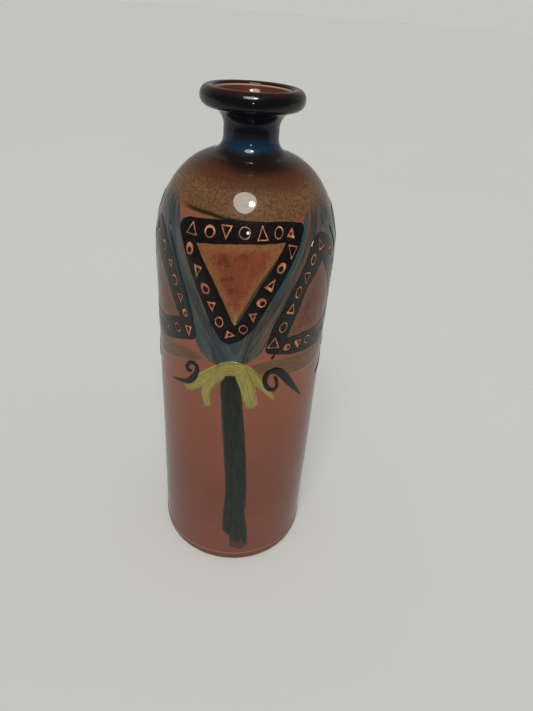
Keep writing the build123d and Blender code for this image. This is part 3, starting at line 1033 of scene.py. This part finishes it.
def triangle_motif(kind, number, azimuth, edge, window, marks, roundings):
    """One scratched black triangle: the light clay under it, the ochre inside, the black skin."""
    last = f"{kind}_{number}"
    hole = (window, roundings[1])
    ground = [(shrunk(edge, 0.975), roundings[0]), hole]
    patch(f"scratched_ground_{last}", ground, azimuth, GROUND, SCRATCHED)
    # The standing triangles take the darker copy, which is painted shade.
    ochre = OCHRE_FIELD if kind == "down" else SHADED_FIELD
    field = patch(
        f"ochre_window_{last}", [hole], azimuth, THIN_SKIN, ochre,
        [f"ochre_field_{last}"],
    )
    rim_distance(field)
    skin = patch(
        f"black_triangle_{last}", [(edge, roundings[0]), hole], azimuth, SKIN, BLACK,
        [f"black_frame_{last}"], marks,
    )
    print(skin.name, "faces:", len(skin.data.polygons))


for number, azimuth in repeats():
    triangle_motif("down", number, azimuth, DOWN_EDGE, DOWN_WINDOW, DOWN_MARKS, (2.2, 0.5))

# %% [markdown]
# ## The triangles that stand up
# Between them stand three wider black triangles with a rounded top. Their marks run up one
# side, down the other and along the foot.

# %% Lay the triangles that stand up
UP_EDGE = [
    (-36.4, 176.6), (-33.0, 192.1), (-22.5, 214.4), (-12.0, 235.3), (-6.8, 239.4), (-1.3, 239.0),
    (8.2, 232.5), (18.3, 220.4), (24.7, 208.2), (28.7, 194.6), (31.2, 180.6), (21.7, 176.8),
    (9.7, 172.8), (4.1, 170.8), (-19.1, 172.6),
]
UP_WINDOW = [
    (-23.9, 184.6), (-13.6, 211.5), (-2.8, 224.6), (8.2, 210.3), (19.6, 190.6), (4.2, 184.4),
]
UP_MARKS = [
    ("tri", -31.4, 181.6, 7.2, 7.0, -8), ("ring", -26.6, 191.4, 4.8, 6.4, -18),
    ("tri", -22.9, 201.0, 5.4, 6.6, -16, 0.35, 240), ("ring", -19.2, 210.6, 3.8, 7.0, -14),
    ("tri", -14.4, 218.3, 5.2, 7.0, 172), ("ring", -10.6, 226.8, 4.4, 6.2, -16, 0.25, 60),
    ("tri", -4.4, 232.6, 5.4, 6.2, 16, 0.30, 250),
    ("ring", 6.0, 226.4, 4.4, 5.6, 14, 0.20, 90), ("tri", 12.8, 219.0, 4.6, 5.0, 190, 0.40, 270),
    ("ring", 15.9, 210.6, 4.6, 6.2, 12, 0.15, 90), ("tri", 20.2, 202.2, 4.8, 6.0, 186, 0.50, 260),
    ("ring", 23.4, 193.8, 3.6, 4.8, 10, 0.60, 200),
    ("tri", 25.8, 184.6, 4.6, 7.2, 184, 0.50, 280), ("ring", 17.4, 182.6, 4.8, 5.6),
    ("tri", 9.0, 178.6, 5.0, 5.4, 0, 0.35, 90), ("ring", 0.4, 177.6, 5.4, 5.4),
    ("ring", -8.0, 178.4, 5.2, 5.4, 0, 0.15, 120), ("tri", -15.6, 178.8, 5.6, 5.6, 180, 0.60, 200),
    ("ring", -23.0, 178.0, 4.4, 4.6, 0, 0.70, 180),
]

for number, azimuth in repeats(0.5):
    triangle_motif("up", number, azimuth, UP_EDGE, UP_WINDOW, UP_MARKS, (2.6, 0.5))

# %% [markdown]
# ## The wash between the triangles
# A watery blue-grey slip fills the space between the triangles in long strokes, and climbs over
# the top of each standing one. It lies under the black, so it is thinner and laid first.

# %% Lay the wash
WASH_EDGE = [
    (-52.78, 255.6), (-48.3, 254.9), (-43.5, 252.0), (-39.7, 248.3), (-35.4, 242.4), (-30.6, 231.2),
    (-24.0, 216.0), (-17.2, 199.9), (-11.0, 188.0), (-3.0, 186.5), (8.0, 195.0), (19.0, 215.0),
    (32.5, 240.5), (36.8, 246.6), (42.4, 250.2), (48.1, 253.8), (52.78, 255.6),
    (52.78, 240.0), (43.0, 235.0), (33.5, 217.0), (23.5, 197.0), (17.8, 183.0), (16.2, 179.8),
    (14.0, 175.9), (10.7, 172.8), (6.6, 170.3), (-5.2, 169.4), (-9.5, 167.5), (-14.0, 168.9),
    (-18.7, 173.3), (-22.4, 178.7), (-23.9, 187.6), (-28.6, 201.3), (-34.0, 214.9), (-42.4, 227.0),
    (-47.0, 233.4), (-49.6, 236.4), (-52.78, 238.5),
]
for number, azimuth in repeats():
    patch(
        f"wash_{number}", [(WASH_EDGE, 0.4)], azimuth, WASH_SKIN, WASH,
        [f"blue_wash_{number}"],
    )
print("wash lifts above the clay, mm:", WASH_SKIN[1])

# %% [markdown]
# ## Brush strokes
# Stems, leaves and curls are single strokes of a loaded brush: thin where it lands, full in the
# middle and crowned, because the slip stands highest along the middle of the stroke. Each is a
# flat grid led along a smooth path with its own width, then raised and rolled on to the pot.

# %% Helpers for brush strokes
STROKE_STEP = 1.1
BRUSH_LEAST = 0.6
ACROSS_STEPS = 8
TEAR = 1.6
STREAK_SHIFT = 0.37


def smooth_path(points, count):
    """Points along a smooth curve through a few given ones: across, height and width."""
    knots = [Vector(point) for point in points]
    knots = [2 * knots[0] - knots[1]] + knots + [2 * knots[-1] - knots[-2]]
    path = []
    for index in range(count + 1):
        place = index / count * (len(points) - 1)
        start = min(int(place), len(points) - 2)
        t = place - start
        a, b, c, d = knots[start:start + 4]
        bend = (2 * a - 5 * b + 4 * c - d) * t * t + (3 * b - a - 3 * c + d) * t**3
        path.append((2 * b + (c - a) * t + bend) / 2)
    return path


def add_stroke(bm, points, low, thick, tips):
    """Adds one stroke; tips give how long each end takes to reach full width, in widths."""
    length = sum(math.dist(a[:2], b[:2]) for a, b in zip(points, points[1:]))
    count = max(16, int(length / STROKE_STEP))
    path = smooth_path(points, count)
    across, up, rise = note(bm, "across"), note(bm, "up"), note(bm, "rise")
    made = bmesh.ops.create_grid(bm, x_segments=count, y_segments=ACROSS_STEPS, size=1.0)["verts"]
    walked = [0.0]
    for a, b in zip(path, path[1:]):
        walked.append(walked[-1] + math.dist(a[:2], b[:2]))
    for vert in made:
        index = round((vert.co.x + 1) / 2 * count)
        side = vert.co.y
        here = path[index]
        ahead = path[min(index + 1, count)] - path[max(index - 1, 0)]
        direction = Vector((ahead.x, ahead.y)).normalized()
        near = [walked[index], walked[-1] - walked[index]]
        width = here.z
        for distance, tip in zip(near, tips):
            if tip:
                share = min(1.0, distance / (tip * max(here.z, BRUSH_LEAST)))
                width *= math.sqrt(max(0.0, 1 - (1 - share) ** 2))
        offset = side * width / 2
        tear = TEAR * noise.noise(Vector((side * 2.7, here.x, here.y / 9)))
        slip_back = direction * tear * max(0.0, 1 - min(near) / max(here.z, BRUSH_LEAST))
        vert[across] = walked[index] + length * STREAK_SHIFT
        vert[up] = side
        crown = math.sqrt(max(0.0, 1 - abs(side) ** 2.5))
        vert[rise] = low + thick * crown * min(1.0, width / here.z)
        spot = here.xy + direction.orthogonal() * offset + slip_back
        vert.co = (spot * MM).to_3d()


def strokes_piece(name, strokes, azimuth, material, nodes=()):
    """One or more strokes of the same slip as a single piece."""
    bm = bmesh.new()
    for points, low, thick, tips in strokes:
        add_stroke(bm, points, low, thick, tips)
    rise = note(bm, "rise")
    made = bmesh.ops.extrude_face_region(bm, geom=bm.faces[:])["geom"]
    raised = {item for item in made if isinstance(item, bmesh.types.BMVert)}
    for vert in bm.verts:
        vert.co += hand_drift(vert.co, azimuth, 3.0 * MM) * (0.5 * WOBBLE)
        vert.co.z = vert[rise] * MM if vert in raised else STROKE_BED * MM
    bmesh.ops.recalc_face_normals(bm, faces=bm.faces)
    roll_on(bm, azimuth)
    bmesh.ops.remove_doubles(bm, verts=bm.verts, dist=0.004 * MM)
    bmesh.ops.recalc_face_normals(bm, faces=bm.faces)
    piece = hand_over(bm, name, material, list(nodes))
    piece.data.shade_smooth()
    return piece


# %% [markdown]
# ## The plant under each triangle
# A long grey stem is pulled down almost to the foot. Over its top sits a spray of yellow-green
# leaves, and a black curl springs from each side. The potter lays the stem first, then the
# leaves, then the curls, so each lies a little higher than the last.

# %% Paint the plants
STEM_STROKES = [
    ([(-2.3, 163.0, 9.0), (-1.0, 150.0, 11.6), (1.3, 125.0, 13.0), (3.4, 97.0, 13.6),
      (4.9, 70.0, 13.8), (4.2, 45.0, 14.6), (3.7, 27.5, 13.2)], 0.05, 0.16, (0.3, 0.45)),
    ([(5.8, 75.0, 7.0), (6.4, 52.0, 9.8), (7.8, 32.0, 12.0), (8.9, 13.4, 13.0)],
     0.08, 0.16, (1.2, 0.3)),
]
LEAF_STROKES = [
    ([(-30.4, 146.3, 5.6), (-24.8, 149.0, 8.0), (-17.6, 155.2, 8.6), (-8.6, 163.0, 8.4),
      (-2.0, 167.6, 6.0)], 0.12, 0.10, (0.25, 0.8)),
    ([(-14.0, 137.2, 4.6), (-15.6, 143.2, 5.2), (-15.0, 149.6, 6.0), (-10.8, 157.2, 7.2),
      (-4.2, 164.0, 6.4)], 0.15, 0.10, (0.3, 0.8)),
    ([(11.8, 139.4, 7.2), (10.0, 146.6, 8.4), (8.4, 154.0, 8.6), (5.8, 161.6, 8.8),
      (2.2, 168.8, 6.4)], 0.18, 0.10, (0.15, 0.8)),
    ([(24.6, 143.0, 1.6), (21.2, 148.6, 3.2), (16.6, 154.9, 5.2), (11.2, 161.2, 7.0),
      (4.4, 168.8, 6.0)], 0.14, 0.10, (0.9, 0.8)),
    ([(-9.6, 164.0, 8.4), (-1.2, 166.4, 9.6), (7.0, 165.2, 9.0)], 0.20, 0.10, (0.6, 0.6)),
]
LEFT_CURL = [
    (-42.6, 145.2, 0.7), (-35.2, 147.3, 1.9), (-28.7, 149.5, 3.4), (-24.4, 153.4, 4.2),
    (-21.7, 158.5, 3.2), (-21.4, 162.1, 2.7), (-23.3, 164.1, 2.4), (-26.5, 163.1, 2.3),
    (-28.5, 160.0, 2.5), (-27.5, 157.8, 2.4), (-24.6, 159.0, 1.8),
]
RIGHT_CURL = [
    (45.4, 138.9, 0.9), (39.1, 146.7, 2.8), (33.2, 154.5, 4.6), (28.6, 160.5, 5.0),
    (24.6, 163.7, 4.4), (20.7, 163.9, 3.6), (18.3, 161.0, 3.2), (18.2, 156.6, 3.0),
    (20.5, 152.2, 2.7), (23.8, 150.8, 2.4), (25.6, 153.3, 2.2), (24.7, 158.0, 2.0),
    (23.0, 160.0, 1.4),
]


def curl(points):
    """A curl is one thick stroke that lies over the leaves."""
    return [(points, 0.26, 0.16, (0.6, 0.6))]


for number, azimuth in repeats():
    # The last plant's right curl has a shorter tail, which ends out of sight from the front.
    right_curl = RIGHT_CURL[1:] if number == REPEATS else RIGHT_CURL
    plant = [
        ("stem_strokes", STEM_STROKES, STEM_GREY, "charcoal_slip", "stem"),
        ("leaf_strokes", LEAF_STROKES, LEAF_GREEN, "leaf_green_slip", "leaf_spray"),
        ("left_curl_stroke", curl(LEFT_CURL), CURL_BLACK, "charcoal_slip", "left_curl"),
        ("right_curl_stroke", curl(right_curl), CURL_BLACK, "charcoal_slip", "right_curl"),
    ]
    for name, strokes, material, slot, node in plant:
        node = f"{node}_{number}"
        strokes_piece(f"{name}_{number}", strokes, azimuth, material, [node])
print("plants painted:", REPEATS)

# %% [markdown]
# ## Bands of thin slip
# Under each standing triangle runs a broad smear of olive slip, a strip of olive edges the
# window of each hanging triangle, and a navy line runs where the wash overlaps the black.

# %% Paint the bands
OLIVE_STROKES = [
    ([(-47.0, 166.0, 6.0), (-36.0, 167.2, 10.0), (-22.0, 167.8, 11.6), (-6.0, 166.4, 12.0),
      (8.0, 166.6, 12.0), (22.0, 168.4, 11.0), (34.5, 170.0, 6.0)], 0.00, 0.05, (0.8, 0.8)),
    ([(-30.0, 163.6, 6.0), (-16.0, 162.4, 8.6), (0.0, 161.6, 9.4), (12.0, 164.0, 8.0),
      (22.0, 166.4, 4.6)], 0.02, 0.05, (1.0, 1.0)),
]
WINDOW_STRIP = [(
    [(25.2, 237.6, 0.8), (18.2, 227.2, 1.9), (12.0, 217.4, 2.2), (6.6, 206.4, 2.2),
     (0.6, 194.6, 1.6)], 0.12, 0.10, (1.0, 1.0),
)]
NAVY_STRIP = [(
    [(-44.6, 239.6, 1.4), (-38.4, 229.4, 2.4), (-33.8, 218.2, 2.8), (-30.2, 207.0, 3.0),
     (-27.2, 197.0, 2.6), (-25.0, 189.0, 1.6)], 0.26, 0.06, (1.0, 1.0),
)]
BLACK_DRIP = [(
    [(20.0, 178.4, 1.2), (21.6, 176.4, 1.3), (22.1, 174.4, 1.4), (20.8, 172.3, 1.8)],
    0.08, 0.12, (0.6, 0.5),
)]
GREEN_SMUDGE = [(
    [(-18.6, 172.0, 1.2), (-16.4, 170.2, 2.0), (-13.8, 168.2, 1.4)], 0.05, 0.06, (0.8, 0.8),
)]
for number, azimuth in repeats():
    under = azimuth + REPEAT_ANGLE / 2
    olive_node = [f"olive_band_{number}"]
    strokes_piece(f"olive_smear_{number}", OLIVE_STROKES, under, OLIVE, olive_node)
    strip = f"olive_window_strip_{number}"
    strokes_piece(strip, WINDOW_STRIP, azimuth, OLIVE_EDGE)
    strokes_piece(f"navy_strip_{number}", NAVY_STRIP, azimuth, NAVY_EDGE)
strokes_piece("black_drip", BLACK_DRIP, FRONT, BLACK)
strokes_piece("green_smudge", GREEN_SMUDGE, FRONT, SMUDGE)
print("bands painted:", 3 * REPEATS)

# %% [markdown]
# ## Floor, light and camera
# The vase stands on a plain pale floor that runs back as far as the camera sees. The light is a
# soft pale surround, a wide lamp for a window, a narrow one for a ceiling light and one tiny lamp
# for a glint. Gloss shows whatever stands before it, so the floor and the surround are darker to
# a mirrored ray than to the eye, as a dim room would be. The camera looks down a little.

# %% Set the stage
FLOOR_NEAR = 0.8
FLOOR_DEEP = 20.0
FLOOR_WIDE = 40.0
LAMP_FAR = 4.0
LENS = 27.04
CAMERA_PLACE = (0, -0.29024, 0.33297)
CAMERA_TURN, CAMERA_TILT, CAMERA_ROLL = -0.05831, 0.57804, 0.08128


def floor_finish():
    """A pale matt floor that looks darker in the glaze, away from the vase's foot."""
    recipe = Recipe("pale_floor")
    place = recipe.place()
    shade = recipe.clouds(place, 0.6, 2.0, 0.5)
    colour = recipe.mix(shade, FLOOR_SHADE, FLOOR_PALE)
    mirrored = recipe.add("ShaderNodeLightPath", None, None, "Is Glossy Ray")
    front = (0 - recipe.apart(place)[1]).step(0.14, 0.42)
    colour = recipe.mix(mirrored * (0.35 + front * 0.55), colour, FLOOR_MIRRORED)
    return recipe.finish(colour, 0.75 + shade * 0.05, coat=0.0)


def lay_floor():
    """A flat sheet from just behind the camera to far away."""
    bm = bmesh.new()
    bmesh.ops.create_grid(bm, x_segments=1, y_segments=1, size=1.0)
    reach = Matrix.Diagonal((FLOOR_WIDE, FLOOR_DEEP, 1, 1))
    shift = Matrix.Translation((0, FLOOR_DEEP - FLOOR_NEAR, 0))
    bmesh.ops.transform(bm, matrix=shift @ reach, verts=bm.verts)
    ground = made_of(bm, "pale_floor", floor_finish())


def direction_to(azimuth, elevation):
    """The direction at an angle round from the front and an angle up, in degrees."""
    azimuth, elevation = math.radians(azimuth), math.radians(elevation)
    flat = math.cos(elevation)
    return Vector((flat * math.sin(azimuth), -flat * math.cos(azimuth), math.sin(elevation)))


def lamp_towards(name, kind, azimuth, elevation, distance, colour):
    """A lamp in a direction, turned to face the shoulder."""
    lamp = bpy.data.lights.new(name, kind)
    lamp.color = colour
    holder = in_scene(name, lamp)
    out = direction_to(azimuth, elevation)
    holder.location = Vector((0, -0.8 * BODY_R, SHOULDER_Z + 0.7 * SHOULDER_HIGH)) + out * distance
    holder.rotation_euler = out.to_track_quat("Z", "Y").to_euler()
    return lamp


lay_floor()
world = bpy.data.worlds.new("soft_surround")
world.use_nodes = True
bpy.context.scene.world = world
bpy.context.scene.view_settings.view_transform = "Standard"


def surround(tree):
    """A pale room that is darker towards the viewer, where the gloss would mirror it."""
    recipe = Recipe("surround", tree)
    seen = recipe.add("ShaderNodeLightPath", output="Is Camera Ray")
    mirrored = recipe.add("ShaderNodeLightPath", output="Is Glossy Ray")
    direction = recipe.apart(recipe.add("ShaderNodeTexCoord"))
    behind = direction[1].step(-0.35, 0.75)
    low = 1 - direction[2].step(0.25, 0.80)
    mirror = 0.04 + behind * low * 0.22
    strength = recipe.between(seen, recipe.between(mirrored, 0.34, mirror), 0.56)
    background = tree.nodes["Background"].inputs
    background["Color"].default_value = (*ROOM_WHITE, 1)
    recipe.feed(background["Strength"], strength)


surround(world.node_tree)
window = lamp_towards("window_lamp", "SUN", -6.7, 53.6, LAMP_FAR, WARM_WHITE)
window.energy = 1.42
window.angle = math.radians(26.4)
ceiling = lamp_towards("ceiling_lamp", "SUN", 6.7, 51.0, LAMP_FAR, WARM_WHITE)
ceiling.energy = 0.58
ceiling.angle = math.radians(7)
small = lamp_towards("small_lamp", "AREA", 1.0, 16.0, 0.26, WHITE)
small.shape = "DISK"
small.size = 14 * MM
small.energy = 0.030

camera_data = bpy.data.cameras.new("camera")
camera_data.sensor_width = 36
camera_data.lens = LENS
camera_data.clip_start = 0.01
camera = in_scene("camera", camera_data)
turn = Matrix.Rotation(CAMERA_TURN, 4, "Z")
tilt = Matrix.Rotation(math.pi / 2 - CAMERA_TILT, 4, "X")
roll = Matrix.Rotation(CAMERA_ROLL, 4, "Z")
camera.matrix_world = Matrix.Translation(CAMERA_PLACE) @ turn @ tilt @ roll
bpy.context.scene.camera = camera
print("camera at", tuple(round(value, 3) for value in camera.location))
